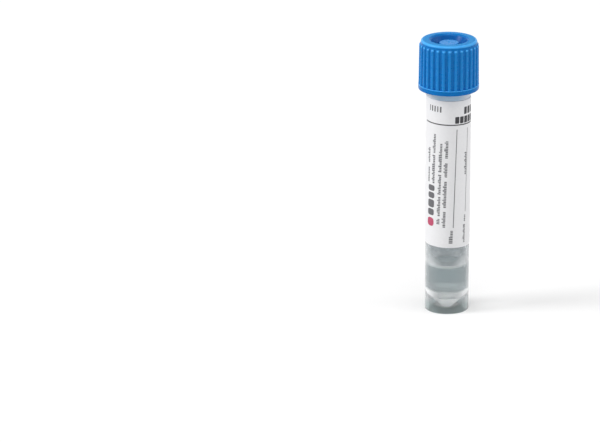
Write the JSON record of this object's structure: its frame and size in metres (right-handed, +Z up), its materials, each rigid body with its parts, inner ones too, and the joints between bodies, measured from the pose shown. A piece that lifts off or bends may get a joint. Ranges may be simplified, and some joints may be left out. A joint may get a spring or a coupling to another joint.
{
  "type": "specimen swab tube",
  "caption": "Skirted round tube with a conical bottom, ribbed screw cap with a swab-holding socket, wrap label and clear transport medium.",
  "frame": {"origin": "centre of the skirt's lower rim, on the surface that the tube stands on", "axes": "+Z up the tube's axis to the cap, -Y towards the front of the label"},
  "size_m": [0.0172, 0.0172, 0.08],
  "materials": {
    "tube_plastic": "satin",
    "cap_plastic": "satin",
    "label_film": "satin",
    "medium": "gloss"
  },
  "bodies": {
    "tube": {"tube": "tube_plastic", "label": "label_film", "transport_medium": "medium"},
    "cap": {"screw_cap": "cap_plastic"}
  },
  "joints": [
    {"name": "cap_lift", "type": "slide", "parent": "tube", "child": "cap", "axis": [0, 0, 1], "range_m": [0, 0.03]}
  ]
}
